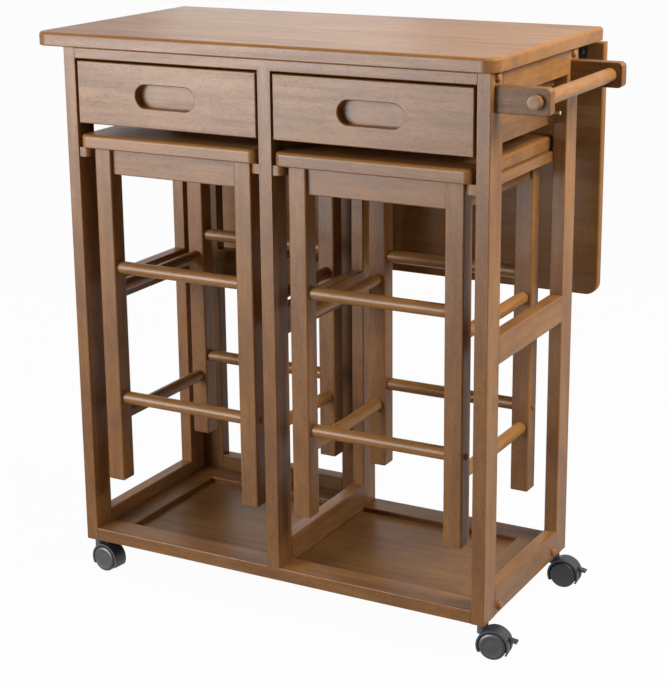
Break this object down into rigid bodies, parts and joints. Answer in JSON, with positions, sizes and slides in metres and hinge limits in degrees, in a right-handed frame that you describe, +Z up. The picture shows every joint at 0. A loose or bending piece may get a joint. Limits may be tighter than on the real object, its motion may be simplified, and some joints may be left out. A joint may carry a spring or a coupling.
{
  "type": "drop leaf kitchen island",
  "caption": "Rolling wooden kitchen island with a hinged drop leaf, drawers, towel bar, shelf and stools that hang by their seats under the worktop.",
  "frame": {"origin": "on the floor under the middle of the object's overall box, with the leaf down and all closed", "axes": "+X to the towel bar side, +Y to the drop leaf side (drawers open towards -Y), +Z up"},
  "size_m": [0.7994, 0.4136, 0.84],
  "materials": {
    "walnut_stained_beech": "satin lacquer over a medium brown stain",
    "zinc_steel": "bright zinc",
    "dark_plastic": "fine texture"
  },
  "bodies": {
    "cart": {"worktop": "walnut_stained_beech", "top_hinge_plates": "zinc_steel", "hinge_pins": "zinc_steel", "front_left_post": "walnut_stained_beech", "front_centre_post": "walnut_stained_beech", "front_right_post": "walnut_stained_beech", "rear_left_post": "walnut_stained_beech", "rear_centre_post": "walnut_stained_beech", "rear_right_post": "walnut_stained_beech", "side_top_rails": "walnut_stained_beech", "side_middle_rails": "walnut_stained_beech", "side_bottom_rails": "walnut_stained_beech", "front_top_rail": "walnut_stained_beech", "rear_top_rail": "walnut_stained_beech", "stool_runners": "walnut_stained_beech", "drawer_runners": "walnut_stained_beech", "shelf_front_rail": "walnut_stained_beech", "shelf_rear_rail": "walnut_stained_beech", "shelf_cross_rails": "walnut_stained_beech", "shelf_panels": "walnut_stained_beech", "frame_caps": "walnut_stained_beech", "towel_bracket_front": "walnut_stained_beech", "towel_bracket_rear": "walnut_stained_beech", "towel_bar": "walnut_stained_beech", "caster_stems": "zinc_steel", "gate_foot_plate": "zinc_steel"},
    "leaf": {"drop_leaf": "walnut_stained_beech", "leaf_hinge_plates": "zinc_steel"},
    "gate": {"gate_stiles": "walnut_stained_beech", "gate_rails": "walnut_stained_beech", "gate_pins": "walnut_stained_beech"},
    "left_drawer": {"left_drawer_front": "walnut_stained_beech", "left_drawer_box": "walnut_stained_beech", "left_drawer_bottom": "walnut_stained_beech", "left_drawer_stop_pin": "zinc_steel"},
    "left_stool": {"left_stool_seat": "walnut_stained_beech", "left_stool_legs": "walnut_stained_beech", "left_stool_aprons": "walnut_stained_beech", "left_stool_rungs": "walnut_stained_beech", "left_stool_caps": "walnut_stained_beech"},
    "right_drawer": {"right_drawer_front": "walnut_stained_beech", "right_drawer_box": "walnut_stained_beech", "right_drawer_bottom": "walnut_stained_beech", "right_drawer_stop_pin": "zinc_steel"},
    "right_stool": {"right_stool_seat": "walnut_stained_beech", "right_stool_legs": "walnut_stained_beech", "right_stool_aprons": "walnut_stained_beech", "right_stool_rungs": "walnut_stained_beech", "right_stool_caps": "walnut_stained_beech"},
    "caster_front_left": {"caster_front_left_housing": "dark_plastic"},
    "wheels_front_left": {"caster_front_left_wheels": "dark_plastic"},
    "caster_front_right": {"caster_front_right_housing": "dark_plastic"},
    "wheels_front_right": {"caster_front_right_wheels": "dark_plastic"},
    "brake_front_right": {"caster_front_right_brake": "dark_plastic"},
    "caster_rear_left": {"caster_rear_left_housing": "dark_plastic"},
    "wheels_rear_left": {"caster_rear_left_wheels": "dark_plastic"},
    "caster_rear_right": {"caster_rear_right_housing": "dark_plastic"},
    "wheels_rear_right": {"caster_rear_right_wheels": "dark_plastic"},
    "brake_rear_right": {"caster_rear_right_brake": "dark_plastic"}
  },
  "joints": [
    {"name": "leaf_hinge", "type": "hinge", "parent": "cart", "child": "leaf", "pos_m": [-0.01375, 0.18848, 0.8167], "axis": [1, 0, 0], "range_deg": [0, 90]},
    {"name": "gate_swing", "type": "hinge", "parent": "cart", "child": "gate", "pos_m": [-0.03625, 0.11933, 0.057], "axis": [0, 0, -1], "range_deg": [0, 10]},
    {"name": "left_drawer_slide", "type": "slide", "parent": "cart", "child": "left_drawer", "axis": [0, -1, 0], "range_m": [0, 0.205]},
    {"name": "right_drawer_slide", "type": "slide", "parent": "cart", "child": "right_drawer", "axis": [0, -1, 0], "range_m": [0, 0.205]},
    {"name": "left_stool_slide", "type": "slide", "parent": "cart", "child": "left_stool", "axis": [0, -1, 0], "range_m": [0, 0.3]},
    {"name": "right_stool_slide", "type": "slide", "parent": "cart", "child": "right_stool", "axis": [0, -1, 0], "range_m": [0, 0.3]},
    {"name": "caster_front_left_swivel", "type": "hinge", "parent": "cart", "child": "caster_front_left", "pos_m": [-0.34125, -0.18177, 0.04], "axis": [0, 0, 1], "continuous": true},
    {"name": "caster_front_left_roll", "type": "hinge", "parent": "caster_front_left", "child": "wheels_front_left", "pos_m": [-0.32434, -0.18355, 0.02], "axis": [0.1045, 0.9945, 0], "continuous": true},
    {"name": "caster_front_right_swivel", "type": "hinge", "parent": "cart", "child": "caster_front_right", "pos_m": [0.31375, -0.18177, 0.04], "axis": [0, 0, 1], "continuous": true},
    {"name": "caster_front_right_roll", "type": "hinge", "parent": "caster_front_right", "child": "wheels_front_right", "pos_m": [0.33062, -0.1797, 0.02], "axis": [-0.1219, 0.9925, 0], "continuous": true},
    {"name": "brake_front_right_press", "type": "hinge", "parent": "caster_front_right", "child": "brake_front_right", "pos_m": [0.34241, -0.17826, 0.02529], "axis": [-0.1219, 0.9925, 0], "range_deg": [0, 14]},
    {"name": "caster_rear_left_swivel", "type": "hinge", "parent": "cart", "child": "caster_rear_left", "pos_m": [-0.34125, 0.08722, 0.04], "axis": [0, 0, 1], "continuous": true},
    {"name": "caster_rear_left_roll", "type": "hinge", "parent": "caster_rear_left", "child": "wheels_rear_left", "pos_m": [-0.32427, 0.08633, 0.02], "axis": [0.0523, 0.9986, 0], "continuous": true},
    {"name": "caster_rear_right_swivel", "type": "hinge", "parent": "cart", "child": "caster_rear_right", "pos_m": [0.31375, 0.08722, 0.04], "axis": [0, 0, 1], "continuous": true},
    {"name": "caster_rear_right_roll", "type": "hinge", "parent": "caster_rear_right", "child": "wheels_rear_right", "pos_m": [0.33071, 0.08841, 0.02], "axis": [-0.0698, 0.9976, 0], "continuous": true},
    {"name": "brake_rear_right_press", "type": "hinge", "parent": "caster_rear_right", "child": "brake_rear_right", "pos_m": [0.34256, 0.08924, 0.02529], "axis": [-0.0698, 0.9976, 0], "range_deg": [0, 14]}
  ]
}
